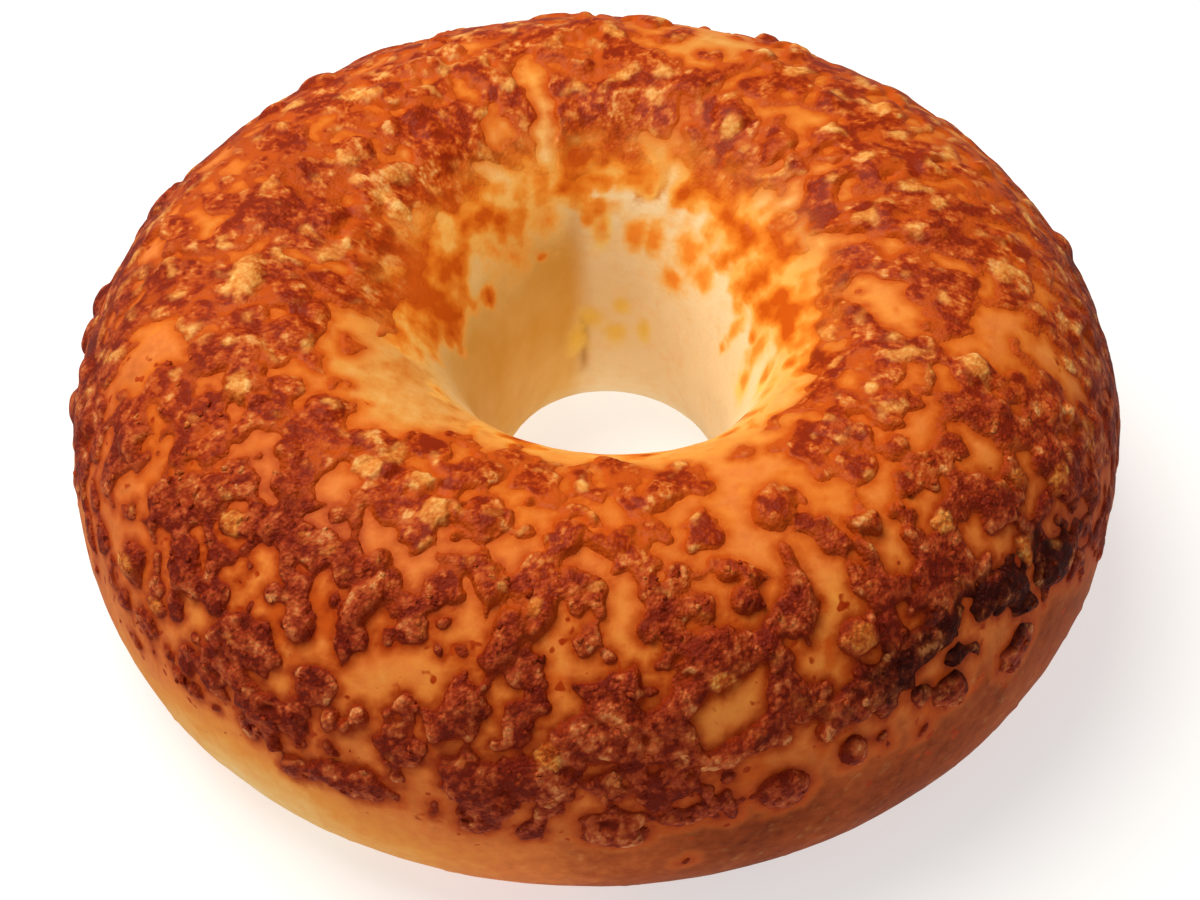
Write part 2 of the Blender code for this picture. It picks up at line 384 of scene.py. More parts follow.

# What the cheese and its fat left on the dough: pale gold where shreds fell off, orange stains in
# the throat and below the left front, and yellow ones further down the throat. On the throat's
# left wall a mustard wash is partly the fat's stain and partly painted shade, as that wall faces
# away from the light.
gold_patches = (
    (216, 115, 9.0, 6.0), (206, 109, 4.0, 4.0), (159, 80, 5.0, 2.5), (184, 105, 4.0, 4.0),
    (170, 72, 6.0, 3.0), (71, 77, 6.5, 3.5), (76, 118, 2.5, 5.0), (196, 98, 4.0, 3.0),
)
stains = (
    (128, 134, 6.0, 4.5), (112, 131, 3.0, 4.0), (148, 128, 4.0, 3.0), (168, 126, 5.0, 3.0),
    (90.5, 139.5, 1.2, 2.6), (78, 142, 2.1, 2.6), (71, 142.5, 2.0, 2.8), (56, 142, 2.8, 3.2),
    (60, 152, 2.3, 2.0), (46, 145, 2.4, 2.3), (15.5, 148, 1.2, 3.2), (17.5, 156, 0.9, 1.1),
    (358, 143, 2.0, 3.2), (353, 152, 1.7, 1.7), (335, 134, 3.6, 1.4), (125, 140, 2.4, 3.0),
    (110, 135, 2.0, 3.0), (30, 136, 2.4, 2.0), (3, 132, 2.6, 2.0), (136, 128, 3.0, 2.0),
    (221, -38, 3.0, 1.2), (227, -42, 3.5, 1.4), (233, -40, 2.0, 1.0),
)
yellow_stains = (
    (94.5, 174, 1.6, 2.2), (84, 180, 1.6, 2.4), (82, 168, 1.2, 1.6), (100, 182, 1.4, 3.0),
    (90, 141, 1.2, 3.0), (72, 176, 1.0, 2.6), (352, 154, 2.4, 2.4), (340, 140, 2.6, 1.6),
)
measure(dough, "bake", np.clip(bake, 0, 1))
measure(dough, "film", np.clip(film, -1.5, 1))
seam = hump(from_joint, 0, 0.45) * step(170, 177, over) * step(204, 194, over)
measure(dough, "seam", 0.7 * seam)
measure(dough, "dotted", step(-18, 0, over) * step(80, 60, over))
measure(dough, "gold", near(turn, over, gold_patches))
# The throat's left wall, washed mustard: partly grease from the cheese and partly painted shade.
left_wall = step(91, 105, turn) * step(250, 190, turn)
measure(dough, "mustard_grease_and_shade", left_wall * step(116, 150, over) * step(250, 200, over))
measure(dough, "throat", step(*throat_begins, over))
measure(dough, "toast", browning(turn, over))
measure(dough, "stain", near(turn, over, stains))
measure(dough, "yellow", near(turn, over, yellow_stains))


def shader_of(name):
    """A new node material, its nodes, its links and its shader."""
    material = bpy.data.materials.new(name)
    material.use_nodes = True
    nodes, links = material.node_tree.nodes, material.node_tree.links
    return material, nodes, links, nodes["Principled BSDF"]


def reading(nodes, name):
    """The output of a number kept by measure."""
    node = nodes.new("ShaderNodeAttribute")
    node.attribute_name = name
    return node.outputs["Fac"]


def mottle(nodes, links, size, detail=2.0, rough=0.55):
    """Noise over the piece in waves of this size."""
    place = nodes.new("ShaderNodeTexCoord")
    node = nodes.new("ShaderNodeTexNoise")
    node.inputs["Scale"].default_value = 1 / size
    node.inputs["Detail"].default_value = detail
    node.inputs["Roughness"].default_value = rough
    links.new(place.outputs["Object"], node.inputs["Vector"])
    return node.outputs["Fac"]


def plus(nodes, links, first, second, amount, offset=0.0):
    """first + amount * second + offset, as nodes."""
    scaled = nodes.new("ShaderNodeMath")
    scaled.operation = "MULTIPLY_ADD"
    links.new(second, scaled.inputs[0])
    scaled.inputs[1].default_value = amount
    scaled.inputs[2].default_value = offset
    total = nodes.new("ShaderNodeMath")
    total.operation = "ADD"
    links.new(first, total.inputs[0])
    links.new(scaled.outputs[0], total.inputs[1])
    return total.outputs[0]


def roughened(nodes, links, value, size, detail, amount, rough=0.55):
    """A value with noise in waves of this size added, half of it up and half down."""
    waves = mottle(nodes, links, size, detail, rough)
    return plus(nodes, links, value, waves, amount, -amount / 2)


def ramp(nodes, links, value, *stops):
    """A colour ramp with a stop at each (place, red, green, blue), colours as on a screen."""
    node = nodes.new("ShaderNodeValToRGB")
    elements = node.color_ramp.elements
    while len(elements) < len(stops):
        elements.new(0.5)
    for element, (place, *colour) in zip(elements, stops):
        element.position = place
        element.color = (*[(c / 255) ** 2.2 for c in colour], 1)
    links.new(value, node.inputs["Fac"])
    return node.outputs["Color"]


def mottled(nodes, links, size, detail, first, second):
    """Two colours that run into each other in waves of this size."""
    return ramp(nodes, links, mottle(nodes, links, size, detail), (0.3, *first), (0.7, *second))


def shares(nodes, links, value, low, high):
    """0 to 1 as a value goes from low to high."""
    node = nodes.new("ShaderNodeMapRange")
    node.interpolation_type = "SMOOTHSTEP"
    node.inputs["From Min"].default_value = low
    node.inputs["From Max"].default_value = high
    links.new(value, node.inputs["Value"])
    return node.outputs["Result"]


def blended(nodes, links, share, first, second):
    """One colour over another by a share."""
    node = nodes.new("ShaderNodeMix")
    node.data_type = "RGBA"
    links.new(share, node.inputs["Factor"])
    links.new(first, node.inputs["A"])
    links.new(second, node.inputs["B"])
    return node.outputs["Result"]


def bumped(nodes, links, shader, height, distance):
    """Fine relief in the shader, on top of the mesh's own."""
    node = nodes.new("ShaderNodeBump")
    node.inputs["Distance"].default_value = distance
    links.new(height, node.inputs["Height"])
    links.new(node.outputs["Normal"], shader.inputs["Normal"])


crust, nodes, links, shader = shader_of("baked_crust")
baked = roughened(nodes, links, reading(nodes, "bake"), 5 * mm, 4, 0.18)
baked = roughened(nodes, links, baked, 1.4 * mm, 3, 0.24)
colour = ramp(
    nodes, links, baked,
    (0.0, 248, 222, 174), (0.2, 243, 190, 112), (0.42, 235, 151, 66),
    (0.6, 223, 122, 58), (0.8, 172, 80, 36), (1.0, 116, 46, 18),
)
gold = mottle(nodes, links, 3 * mm, 3)
gold = ramp(nodes, links, gold, (0.3, 212, 122, 48), (0.5, 224, 150, 72), (0.7, 230, 172, 98))
golden = roughened(nodes, links, reading(nodes, "gold"), 2 * mm, 4, 1.0)
colour = blended(nodes, links, shares(nodes, links, golden, 0.3, 0.55), colour, gold)
# Mustard on the throat's left wall: partly the cheese's grease, partly painted shade.
mustard_grease_and_shade = mottled(nodes, links, 6 * mm, 2.0, (226, 172, 84), (236, 192, 114))
colour = blended(nodes, links, reading(nodes, "mustard_grease_and_shade"), colour, mustard_grease_and_shade)
dark_line = mottled(nodes, links, 2 * mm, 2.0, (170, 122, 58), (190, 142, 78))
colour = blended(nodes, links, reading(nodes, "seam"), colour, dark_line)
yellow = mottled(nodes, links, 2 * mm, 2.0, (246, 200, 72), (250, 214, 112))
yellowed = roughened(nodes, links, reading(nodes, "yellow"), 2 * mm, 3, 1.0)
colour = blended(nodes, links, shares(nodes, links, yellowed, 0.1, 1.1), colour, yellow)
stained = roughened(nodes, links, reading(nodes, "stain"), 1.8 * mm, 2, 0.9)
orange = ramp(
    nodes, links, stained, (0.3, 255, 210, 124), (0.65, 254, 182, 80), (1.0, 248, 146, 54)
)
colour = blended(nodes, links, shares(nodes, links, stained, 0.05, 0.9), colour, orange)
filmed = roughened(nodes, links, reading(nodes, "film"), 1.2 * mm, 4, 0.3)
browned = shares(nodes, links, reading(nodes, "toast"), 0.05, 0.75)
filmed = plus(nodes, links, filmed, browned, -0.14, 0.14)
front_halo = mottled(nodes, links, 2 * mm, 3, (182, 62, 14), (208, 92, 24))
back_halo = mottled(nodes, links, 2 * mm, 3, (210, 98, 28), (232, 136, 54))
halo = blended(nodes, links, browned, back_halo, front_halo)


def melt_colour(nodes, links):
    """Cheese melted to a clear film: deep orange where it is thick, yellow at its margins."""
    waves = mottle(nodes, links, 2.2 * mm, 3)
    thick = plus(nodes, links, reading(nodes, "film"), waves, 1.6, -0.68)
    return ramp(
        nodes, links, thick,
        (0.0, 248, 182, 90), (0.3, 242, 150, 56), (0.65, 230, 122, 35), (1.0, 206, 90, 22),
    )


melt = melt_colour(nodes, links)
halo = blended(nodes, links, reading(nodes, "throat"), halo, melt)
colour = blended(nodes, links, shares(nodes, links, filmed, -0.4, 0.16), colour, halo)
beside = roughened(nodes, links, reading(nodes, "stained"), 1.5 * mm, 4, 0.6)
front_ring = ramp(
    nodes, links, beside, (0.2, 228, 122, 48), (0.55, 201, 89, 32), (0.95, 156, 55, 18)
)
back_ring = ramp(
    nodes, links, beside, (0.2, 230, 140, 57), (0.55, 217, 115, 41), (0.95, 194, 82, 22)
)
ring = blended(nodes, links, browned, back_ring, front_ring)
ring = blended(nodes, links, reading(nodes, "throat"), ring, melt)
colour = blended(nodes, links, shares(nodes, links, beside, 0.1, 0.95), colour, ring)
dots = plus(nodes, links, mottle(nodes, links, 1.6 * mm, 1), reading(nodes, "dotted"), 0.3, -0.3)
red = mottled(nodes, links, 2 * mm, 2.0, (150, 44, 12), (186, 72, 24))
colour = blended(nodes, links, shares(nodes, links, dots, 0.65, 0.73), colour, red)
links.new(colour, shader.inputs["Base Color"])
shader.inputs["Roughness"].default_value = 0.4
shader.inputs["Specular IOR Level"].default_value = 0.05
bumped(nodes, links, shader, mottle(nodes, links, 0.5 * mm, 3), 0.05 * mm)
dough.data.materials.append(crust)
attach(dough, "root")
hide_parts("bagel")

# The melted cheese: shreds of hard cheese that ran together in the oven into a low, grainy
# skin, thickest where they lay in a heap. It is baked onto the crust, in five closed pieces side
# by side, each laid out on a net of places round and over the roll, finest in front.
net_low = -16.0
net_high = 150.0
lone_lumps = (
    (289, 65, 3.2, 3.0, 0), (299, 87, 6.5, 5.0, 60), (211, 27, 4.5, 4.0, 0),
    (235, 46, 4.0, 3.5, 0), (232, 20, 9.0, 5.0, -30), (243, 9, 8.0, 4.5, 10),
    (257, 19, 8.0, 7.0, 0), (284, 52, 8.0, 6.0, 30), (285, 28, 8.5, 3.6, 25),
    (290, 11, 6.5, 5.0, 0), (298, 16, 3.6, 4.0, 0), (300, 30, 9.0, 5.0, -10),
    (311, 19, 4.0, 5.0, 0), (272, 3, 9.0, 4.5, 5), (301, 48, 4.6, 4.2, 0),
    (296, 62, 10.0, 3.4, 80), (342, 78, 4.5, 4.0, 0), (181, 84, 7.5, 3.5, 0),
    (310, 38, 9.0, 5.0, 10), (321, 36, 9.0, 5.5, -5), (331, 28, 8.0, 5.0, -10),
    (255, 38, 10.0, 4.0, 60), (259, 58, 9.0, 4.0, 80), (241, 57, 8.0, 3.5, 70),
    (270, 35, 10.0, 8.0, 0), (264, 22, 8.0, 6.0, 0), (279, 42, 8.0, 4.0, 40),
    (251, 87, 5.0, 4.0, 0),
)
lump_sizes = ((50, 8.4, 6.0, 0.9), (50, 5.4, 4.2, 1.0), (50, 3.4, 3.0, 0.9))
lone_rise = 1.1
large_lump = 7
lump_fill = 0.48
lump_dome = 0.6
closest_lumps = 0.5
least_cover = 0.1
seed = 34


def lump_list():
    """Every fused lump's turn, over, length, width, lean and rise, as the solid has them."""
    draw = random.Random(seed)
    lumps = [(*lump, lone_rise) for lump in lone_lumps]
    spots = [on_roll(lump[0], lump[1]) for lump in lumps]
    for count, length, width, rise in lump_sizes:
        wanted = len(lumps) + count
        while len(lumps) < wanted:
            turn = draw.uniform(0, 360)
            over = draw.uniform(cheese_outer_edge - 12, cheese_inner_edge + 10)
            size = length * draw.uniform(0.8, 1.2)
            if cheese_cover(np.array([turn]), np.array([over]))[0] < least_cover:
                continue
            spot = on_roll(turn, over)
            gaps = np.linalg.norm(np.array(spots) - spot, axis=1) / mm
            lengths = np.array([lump[2] for lump in lumps])
            if (gaps / ((size + lengths) / 2)).min() < closest_lumps:
                continue
            wide = width * draw.uniform(0.8, 1.15)
            lean = draw.uniform(-90, 90)
            lumps.append((turn, over, size, wide, lean, rise * draw.uniform(0.85, 1.2)))
            spots.append(spot)
    return np.array(lumps)


def frames_at(turn, over, lean):
    """Unit vectors along, across and out of the dough at each place, turned by lean."""
    here, tiny = on_roll(turn, over), 0.05
    round_it = on_roll(turn + tiny, over) - here
    over_it = on_roll(turn, over + tiny) - here
    round_it /= np.linalg.norm(round_it, axis=-1, keepdims=True)
    over_it /= np.linalg.norm(over_it, axis=-1, keepdims=True)
    out = np.cross(round_it, over_it)
    lean = np.radians(lean)[:, None]
    along = round_it * np.cos(lean) + over_it * np.sin(lean)
    return np.stack((along, np.cross(out, along), out), 1)


def softened(field, reach):
    """A field of the net averaged over this many rows and columns each way."""
    for axis in (0, 1):
        padded = np.pad(field, [(reach, reach) if a == axis else (0, 0) for a in (0, 1)], "edge")
        span = field.shape[axis]
        parts = [np.take(padded, range(k, k + span), axis) for k in range(2 * reach + 1)]
        field = sum(parts) / len(parts)
    return field


lumps = lump_list()
lump_frames = frames_at(lumps[:, 0], lumps[:, 1], lumps[:, 4])
lump_spots = on_roll(lumps[:, 0], lumps[:, 1])
pale_patches = (
    (221, 57.5, 1.3, 1.1), (301, 48, 1.6, 1.4), (342, 78, 1.5, 1.2), (133, 73.5, 1.6, 1.4),
    (153, 112.5, 1.5, 1.3), (181, 83.5, 3.4, 1.4), (216.5, 24.5, 0.9, 0.8), (239, 91.5, 1.2, 1.0),
    (211, 27, 1.4, 1.1), (265, 30, 1.4, 1.2), (262, 66, 0.7, 0.8), (284, 47, 1.2, 0.8),
    (336, 46, 1.4, 0.9), (326, 40, 0.8, 1.6), (331, 55, 1.0, 0.9), (205, 78, 1.2, 1.0),
    (244, 84, 1.4, 1.2), (230, 88, 1.6, 1.1), (170, 118, 1.6, 1.2), (318, 62, 1.2, 1.0),
)
cheese_thins = (113, 8, 9)
small_grain = 0.62 * mm
large_grain = 1.5 * mm
clump_width = 3.4 * mm
pale_width = 2.2 * mm
pale_fringe = 0.9 * mm
edge_bare = -0.12
edge_full = 0.04
sunk = 0.36
lowest_kept = -0.2
corner_passes = 4
end_slope = 0.08
cheese_thickness = 0.7 * mm
least_thickness = 0.05


def heaped(points, presence):
    """How high the fused lumps stand at each place, in millimetres, and the presence of cheese
    with theirs: surer on a lump, and less sure in a ring round each small lone one."""
    mound = np.zeros(presence.shape)
    for (_, _, length, width, _, rise), spot, axes in zip(lumps, lump_spots, lump_frames):
        local = (points - spot) / mm
        close = np.nonzero((local ** 2).sum(-1) < (length / 2) ** 2)
        local = local[close]
        along = local @ axes[0] / (length * lump_fill)
        across = local @ axes[1] / (width * lump_fill)
        far = along ** 2 + across ** 2
        mound[close] = np.maximum(mound[close], rise * np.maximum(0, 1 - far) ** lump_dome)
        if rise == lone_rise:
            lowest, sure = (-0.16, 0.6) if length < large_lump else (-0.4, 0.4)
            held = 0.5 * np.maximum(presence[close], lowest) + sure * (1 - far)
            presence[close] = np.maximum(presence[close], held)
            if length < large_lump:
                gap = np.linalg.norm(points - spot, axis=-1) / mm / (length / 2)
                presence = presence - 0.45 * step(1.0, 1.25, gap) * step(2.3, 1.5, gap)
        else:
            presence[close] += 0.1 * np.maximum(0, 1 - far)
    return mound, presence


def cheese_at(turn, over):
    """The cheese's rise over the dough in millimetres at each place, with what its colours need:
    presence, each grain's own number, the gaps between grains, the pale bits and the film."""
    points = on_roll(turn, over)
    film = film_at(turn, over)
    begins, later_at_back, fade = cheese_thins
    presence = film - 0.6 * np.clip((over - begins - later_at_back * farness(turn)) / fade, 0, 2)
    presence = presence - 0.4 * step(118, 132, over)
    mound, presence = heaped(points, presence)
    front = step(0.0, 0.7, frontward(turn)) * step(110, 70, over)
    low_front = front * step(75, 45, over)
    back = step(-0.4, 0.3, -frontward(turn))

    # The pale bits: cheese lies under each placed one, and the strewn ones lie only on cheese.
    pale = near(turn, over, pale_patches) + 0.3 * grain(points, pale_fringe, (3, 0, 3))
    presence = presence + np.maximum(0, 0.3 - presence) * step(0.2, 0.5, pale)
    strewn_pale = grain(points, pale_width, (7, 7, 0))
    strewn_pale = strewn_pale + 0.2 * grain(points, pale_fringe, (1, 7, 0))
    strewn_pale = step(0.2 + 0.2 * front, 0.65, strewn_pale) * step(0.0, 0.2, presence)
    strewn_pale = (1 - 0.35 * front - 0.4 * low_front) * strewn_pale
    pale = np.maximum(step(0.2, 0.55, pale), strewn_pale)

    # The rise: a thin skin, the heaps of the lumps, and grains that are coarsest in front.
    small, small_own, small_gap, _ = granules(points, small_grain)
    large, large_own, large_gap, _ = granules(points + 0.3 * mm, large_grain)
    edge = presence + 0.08 * (small - 0.5) + 0.12 * (large - 0.5)
    clump = 0.5 + 0.5 * grain(points, clump_width, (4, 4, 0))
    crumbly = (0.4 + 0.6 * front) * (0.4 + 0.6 * step(0.3, 0.7, clump))
    thick = np.sqrt(np.clip(presence, 0, 0.5) * 2)
    body = 0.07 + (0.1 + 0.2 * front) * thick + 0.65 * mound
    body = body + crumbly * (0.22 * large + 0.16 * small) + 0.1 * pale

    # It flattens down into the throat and thins to nothing at the edge of each patch.
    on_top = step(128 - 5 * back, 106 - 5 * back, over)
    body = body * (0.35 - 0.25 * back + (0.65 + 0.25 * back) * on_top)
    body = body * (0.3 + 0.7 * step(0.0, 0.2, edge))
    rise = (sunk + body) * step(edge_bare, edge_full, edge) - sunk
    own = 0.5 * small_own + 0.5 * large_own
    return rise, presence, own, np.maximum(small_gap * 0.6, large_gap), pale, film


def gritty(nodes, links, size):
    """How far each place is from the middle of its own fine grain, 0 to about 0.9."""
    place = nodes.new("ShaderNodeTexCoord")
    node = nodes.new("ShaderNodeTexVoronoi")
    node.inputs["Scale"].default_value = 1 / size
    links.new(place.outputs["Object"], node.inputs["Vector"])
    return node.outputs["Distance"]


melted, nodes, links, shader = shader_of("melted_cheese")
grit = gritty(nodes, links, 0.45 * mm)
# Each grain's own tone, made lighter on raised places and darker in hollows: painted highlight and
# painted shade from the relief.
light = plus(nodes, links, reading(nodes, "own"), reading(nodes, "ridge"), 0.4, -0.12)
light = roughened(nodes, links, light, 0.9 * mm, 3, 0.75, 0.6)
light = roughened(nodes, links, light, 2.8 * mm, 2, 1.8)
# Darker in the gaps between grains and lighter toward each fine grain's middle: painted shade and
# painted highlight.
light = plus(nodes, links, light, reading(nodes, "gap"), -0.12)
light = plus(nodes, links, light, grit, -0.3, 0.13)
bright = ramp(
    nodes, links, light,
    (0.05, 138, 42, 8), (0.28, 162, 55, 12), (0.5, 188, 77, 22),
    (0.74, 210, 115, 50), (1.0, 230, 162, 94),
)
dark = ramp(
    nodes, links, light,
    (0.05, 114, 32, 13), (0.32, 150, 52, 23), (0.6, 177, 75, 37),
    (0.86, 200, 104, 56), (1.0, 215, 134, 80),
)
burnt = ramp(
    nodes, links, light,
    (0.1, 58, 15, 5), (0.45, 80, 26, 9), (0.75, 116, 52, 22), (1.0, 170, 104, 58),
)
heat_here = reading(nodes, "toast")
browned = shares(nodes, links, heat_here, 0.05, 0.75)
waves = mottle(nodes, links, 0.8 * mm, 3)
thin = plus(nodes, links, reading(nodes, "presence"), waves, 0.3, -0.25)
thin = plus(nodes, links, thin, browned, 0.1)
rim = shares(nodes, links, thin, -0.1, 0.2)
dark_rim = ramp(nodes, links, rim, (0.0, 156, 54, 16), (0.35, 140, 44, 12), (0.8, 116, 32, 9))
dark = blended(nodes, links, shares(nodes, links, thin, 0.0, 0.18), dark_rim, dark)
thin = roughened(nodes, links, thin, 1.3 * mm, 3, 0.6)
rim = shares(nodes, links, thin, -0.1, 0.5)
golden_rim = ramp(nodes, links, rim, (0.0, 194, 82, 22), (0.4, 188, 77, 20), (0.8, 172, 62, 14))
bright = blended(nodes, links, shares(nodes, links, thin, 0.05, 0.4), golden_rim, bright)
colour = blended(nodes, links, browned, bright, dark)
charred = roughened(nodes, links, heat_here, 1.6 * mm, 3, 1.3)
colour = blended(nodes, links, shares(nodes, links, charred, 0.85, 1.6), colour, burnt)
pale_light = roughened(nodes, links, reading(nodes, "own"), 0.8 * mm, 3, 0.9, 0.6)
# Lighter toward each fine grain's middle: painted highlight.
pale_light = plus(nodes, links, pale_light, grit, -0.4, 0.17)
tan = ramp(
    nodes, links, pale_light,
    (0.1, 156, 60, 16), (0.4, 190, 90, 32), (0.7, 212, 124, 52), (1.0, 232, 166, 88),
)
cream = ramp(
    nodes, links, pale_light,
    (0.1, 204, 106, 40), (0.4, 220, 136, 62), (0.7, 232, 162, 84), (1.0, 242, 190, 116),
)
tan = blended(nodes, links, browned, cream, tan)
colour = blended(nodes, links, reading(nodes, "pale"), colour, tan)
melt = melt_colour(nodes, links)
colour = blended(nodes, links, reading(nodes, "throat"), colour, melt)
links.new(colour, shader.inputs["Base Color"])
shader.inputs["Roughness"].default_value = 0.4
shader.inputs["Specular IOR Level"].default_value = 0.09
relief = plus(nodes, links, mottle(nodes, links, 0.4 * mm, 4, 0.6), grit, -0.8)
scaled = nodes.new("ShaderNodeMath")
scaled.operation = "MULTIPLY"
links.new(relief, scaled.inputs[0])
links.new(shares(nodes, links, heat_here, -0.25, 0.7), scaled.inputs[1])
bumped(nodes, links, shader, scaled.outputs[0], 0.25 * mm)


def kept_squares(rise):
    """Which squares of the net hold cheese: those with a corner above the lowest level kept.
    Where two of them meet only at a corner, the two beside them are kept as well."""
    kept = np.zeros((rise.shape[0] - 1, rise.shape[1] - 1), bool)
    for corner in (rise[:-1, :-1], rise[1:, :-1], rise[:-1, 1:], rise[1:, 1:]):
        kept |= corner > lowest_kept
    for _ in range(corner_passes):
        lower, upper = kept[:-1], kept[1:]
        one = lower[:, :-1] & upper[:, 1:] & ~lower[:, 1:] & ~upper[:, :-1]
        other = lower[:, 1:] & upper[:, :-1] & ~lower[:, :-1] & ~upper[:, 1:]
        rows, places = np.nonzero(one | other)
        for row_shift, place_shift in ((0, 0), (0, 1), (1, 0), (1, 1)):
            kept[rows + row_shift, places + place_shift] = True
    return kept


def cheese_piece(name, first, last, round_pitch, over_pitch):
    """The melted cheese between two turns, as one closed piece on the dough."""
    turns = np.arange(first - 3 * round_pitch, last + 3.5 * round_pitch, round_pitch)
    overs = np.linspace(net_low, net_high, int((net_high - net_low) / over_pitch) + 1)
    turn, over = np.meshgrid(turns, overs)
    rise, presence, own, gap, pale, film = cheese_at(turn, over)
    rise = 0.4 * rise + 0.6 * softened(rise, 1)
    beyond = np.maximum(0, np.maximum(first - turn, turn - last)) / round_pitch
    rise = rise - end_slope * beyond
    # How far each place stands above or below its surroundings, for the material to paint lighter
    # tops and darker hollows as painted highlight and painted shade.
    ridge = rise - softened(rise, 4)
    kept = kept_squares(rise)
    bpy.ops.mesh.primitive_grid_add(
        x_subdivisions=len(turns) - 1, y_subdivisions=len(overs) - 1, size=1
    )
    cheese = bpy.context.object
    cheese.name = name
    flat = np.empty(len(cheese.data.vertices) * 3)
    cheese.data.vertices.foreach_get("co", flat)
    place = np.round((flat[0::3] + 0.5) * (len(turns) - 1)).astype(int)
    row = np.round((flat[1::3] + 0.5) * (len(overs) - 1)).astype(int)
    cheese.data.vertices.foreach_set("co", on_roll(turn, over)[row, place].ravel())
    corners = np.empty(len(cheese.data.loops), int)
    cheese.data.loops.foreach_get("vertex_index", corners)
    corners = corners.reshape(-1, 4)
    bare = ~kept[row[corners].min(1), place[corners].min(1)]
    fields = {"turn": turn, "over": over, "rise": rise, "presence": presence, "own": own}
    # The relief and the gaps between grains are kept for the material, which paints shade in
    # hollows and gaps and light on raised tops.
    fields |= {"ridge": ridge, "gap": gap, "pale": pale, "toast": browning(turn, over)}
    fields["throat"] = step(*throat_begins, over) * step(-0.5, 0.2, -frontward(turn))
    fields["film"] = film
    for field_name, field in fields.items():
        measure(cheese, field_name, field[row, place])
    bpy.ops.object.mode_set(mode="EDIT")
    bpy.ops.mesh.select_mode(type="FACE")
    bpy.ops.object.mode_set(mode="OBJECT")
    cheese.data.polygons.foreach_set("select", bare)
    bpy.ops.object.mode_set(mode="EDIT")
    bpy.ops.mesh.delete(type="FACE")
    bpy.ops.object.mode_set(mode="OBJECT")
    outer = len(cheese.data.vertices)
    body = cheese.modifiers.new("body", "SOLIDIFY")
    body.thickness = cheese_thickness
    body.offset = -1
    bpy.ops.object.modifier_apply(modifier=body.name)
    points = np.empty(len(cheese.data.vertices) * 3)
    cheese.data.vertices.foreach_get("co", points)
    points = points.reshape(-1, 3)
    spot = {}
    for field_name in ("turn", "over", "rise"):
        values = np.empty(len(points), np.float32)
        cheese.data.attributes[field_name].data.foreach_get("value", values)
        spot[field_name] = values[:outer].astype(float)
    lift = spot["rise"] + dents_of(points[:outer])
    points[:outer] = on_roll(spot["turn"], spot["over"], lift * mm)
    cheese.data.vertices.foreach_set("co", points.ravel())
    inside = lift > dents_of(points[:outer]) + least_thickness
    cheese_spots.extend(points[:outer][inside][::2].tolist())
    cheese.data.shade_smooth()
    cheese.data.materials.append(melted)
    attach(cheese, "root")
    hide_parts("bagel")


cheese_spots = []
fine_net = (0.26, 0.68)
coarse_net = (0.4, 1.05)
cheese_piece("melted_cheese_front_left", 195, 245, *fine_net)
cheese_piece("melted_cheese_front", 245, 295, *fine_net)
cheese_piece("melted_cheese_front_right", 295, 345, *fine_net)
cheese_piece("melted_cheese_right", -15, 90, *coarse_net)
cheese_piece("melted_cheese_far_left", 90, 195, *coarse_net)
stained_reach = 2.5 * mm
nearest = kdtree.KDTree(len(cheese_spots))
for number, spot in enumerate(cheese_spots):
    nearest.insert(spot, number)
nearest.balance()
gaps = np.array([nearest.find(corner.co)[2] for corner in dough.data.vertices])
measure(dough, "stained", np.clip(1 - gaps / stained_reach, 0, 1))

# Crumbs of cheese that kept their shape: short rough bits, browned, bedded in the melted skin
# of the front where it is surest.
crumb_pitch = 1.6
crumb_count = 400
crumb_halves = (0.16, 0.36)


def bits(name, middles, frames, sizes, sides, draw):
    """Many small rough bits as one mesh: each a ball of few faces, cut flat here and there."""
    bpy.ops.mesh.primitive_ico_sphere_add(subdivisions=sides, radius=1)
    ball = bpy.context.object
    corners = np.array([vertex.co for vertex in ball.data.vertices])
    faces = np.array([face.vertices for face in ball.data.polygons])
    bpy.data.objects.remove(ball, do_unlink=True)
    count = len(middles)
    shapes = np.repeat(corners[None], count, 0)
    shapes *= 1 + 0.25 * draw.normal(size=(count, len(corners), 1)).clip(-1.5, 1.5)
    points = middles[:, None] + np.einsum("nca,na,nab->ncb", shapes, sizes, frames)
    mesh = bpy.data.meshes.new(name)
    joined = (faces[None] + np.arange(count)[:, None, None] * len(corners)).reshape(-1, 3)
    mesh.from_pydata(points.reshape(-1, 3).tolist(), [], joined.tolist())
    mesh.shade_smooth()
    thing = bpy.data.objects.new(name, mesh)
    bpy.context.scene.collection.objects.link(thing)
    return thing, len(corners)


def strewn(pitch, low, high, draw):
    """Places in degrees, one to each patch of this pitch between two angles over the roll."""
    places = []
    half = half_width / mm
    row_step = math.degrees(pitch / half)
    for row in np.arange(low, high, row_step):
        radius = mean_radius / mm + half * math.cos(math.radians(row))
        count = int(math.tau * radius / pitch)
        turns = (np.arange(count) + draw.uniform(-0.5, 0.5, count)) * 360 / count
        rows = row + draw.uniform(-0.5, 0.5, count) * row_step
        places.append(np.stack((turns % 360, rows), 1))
    return np.concatenate(places).T


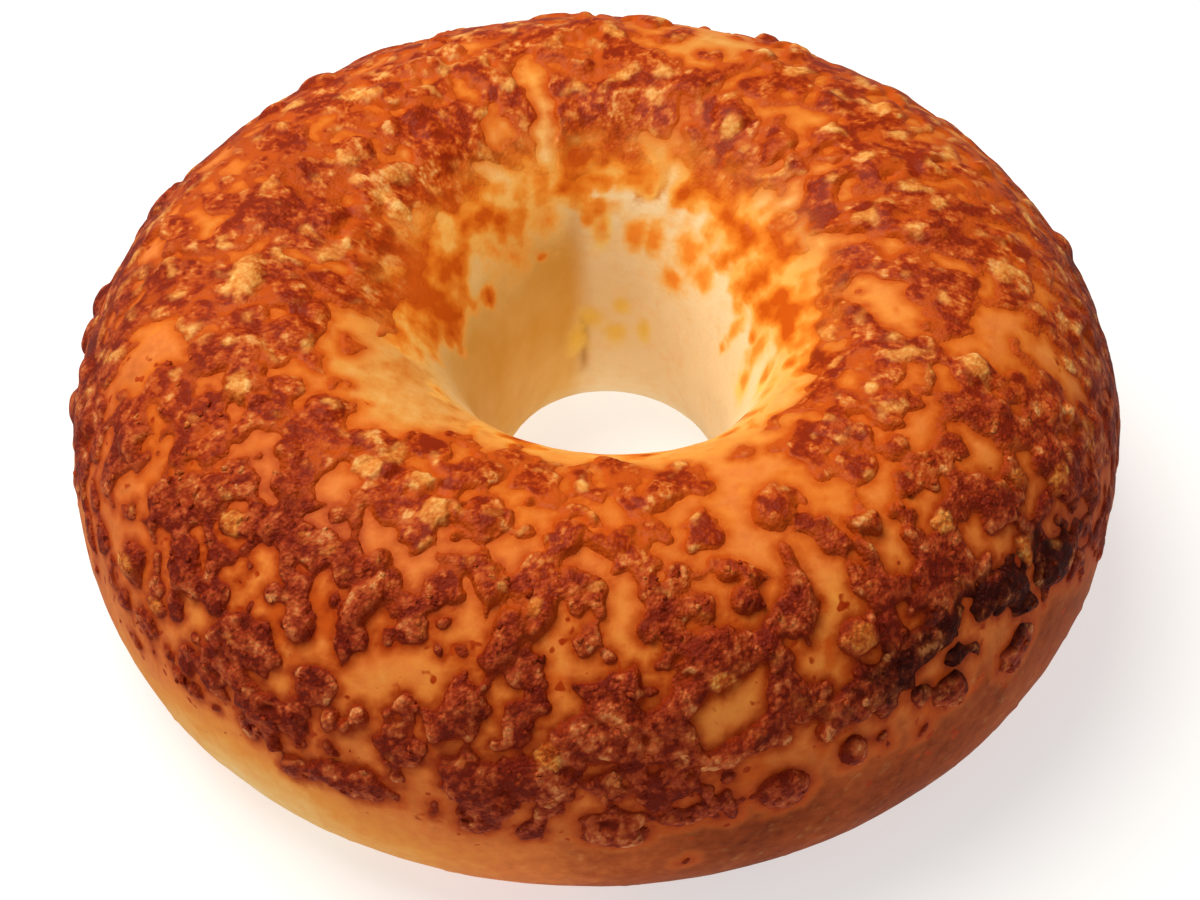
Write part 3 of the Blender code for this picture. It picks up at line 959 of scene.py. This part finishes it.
draw = np.random.RandomState(seed)
turn, over = strewn(crumb_pitch, 5, 125, draw)
rise, presence, own, _, pale, _ = cheese_at(turn, over)
in_front = (-frontward(turn) < draw.uniform(-0.7, -0.2, len(turn))) & (over < 75)
chosen = np.nonzero((presence + draw.uniform(0, 0.3, len(turn)) > 0.35) & in_front)[0]
chosen = draw.permutation(chosen)[:crumb_count]
turn, over, rise, own, pale = (field[chosen] for field in (turn, over, rise, own, pale))
size = draw.uniform(*crumb_halves, len(turn))
sizes = np.stack((size * draw.uniform(1.0, 1.6, len(turn)), size, size * 0.8), 1) * mm
middles = on_roll(turn, over, (rise - 0.2 * size) * mm)
crumb_frames = frames_at(turn, over, draw.uniform(0, 180, len(turn)))
crumbs, corners_each = bits("browned_crumbs", middles, crumb_frames, sizes, 2, draw)
level = 0 * own
# The crumbs stand proud, so they are painted a little lighter, as a painted highlight.
crumb_fields = {"own": own, "ridge": level + 0.15, "toast": browning(turn, over), "gap": level}
crumb_fields |= {"presence": level + 0.4, "pale": pale, "throat": level, "film": level}
for field_name, field in crumb_fields.items():
    measure(crumbs, field_name, np.repeat(field, corners_each))
crumbs.data.materials.append(melted)
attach(crumbs, "root")
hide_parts("bagel")

# The stage and the camera: a plain pale floor under soft light from above and a little to the
# left, seen as in the photograph, from 47 degrees above the front.
floor_size = 3
bpy.ops.mesh.primitive_plane_add(size=floor_size)
floor = bpy.context.object
floor.name = "floor"
paper, nodes, links, shader = shader_of("pale_floor")
shader.inputs["Base Color"].default_value = (0.5, 0.5, 0.5, 1)
shader.inputs["Roughness"].default_value = 0.8
shader.inputs["Emission Color"].default_value = (1.0, 1.0, 1.0, 1)
shader.inputs["Emission Strength"].default_value = 0.6
floor.data.materials.append(paper)
floor.visible_glossy = False

view_distance = 380 * mm
view_height = math.radians(46.9)
view_roll = math.radians(0.66)
toward_camera = Vector((0, -math.cos(view_height), math.sin(view_height)))
eye = Vector(ring_centre) + Vector((0, 0, 20)) * mm + view_distance * toward_camera
aim = Vector(ring_centre) + Vector((0.03, -2.84, 17.34)) * mm
camera = bpy.data.objects.new("camera", bpy.data.cameras.new("camera"))
bpy.context.scene.collection.objects.link(camera)
camera.location = eye
camera.rotation_mode = "QUATERNION"
level_view = (aim - eye).to_track_quat("-Z", "Y")
camera.rotation_quaternion = level_view @ Quaternion((0, 0, 1), view_roll)
camera.data.lens = 103.7
camera.data.clip_start = 0.01
bpy.context.scene.camera = camera

world = bpy.data.worlds.new("studio")
bpy.context.scene.world = world
world.use_nodes = True
world.node_tree.nodes["Background"].inputs["Color"].default_value = (1.0, 0.95, 0.88, 1)
world.node_tree.nodes["Background"].inputs["Strength"].default_value = 0.28

lamp = bpy.data.lights.new("overhead", "AREA")
lamp.shape = "DISK"
lamp.size = 0.75
lamp.energy = 8.9
lamp.color = (1.0, 0.95, 0.86)
lamp_place = Vector((-0.32, 0.17, 0.81))
overhead = bpy.data.objects.new("overhead", lamp)
overhead.location = lamp_place
overhead.rotation_mode = "QUATERNION"
overhead.rotation_quaternion = (-lamp_place).to_track_quat("-Z", "Y")
bpy.context.scene.collection.objects.link(overhead)
bpy.context.scene.view_settings.view_transform = "Standard"
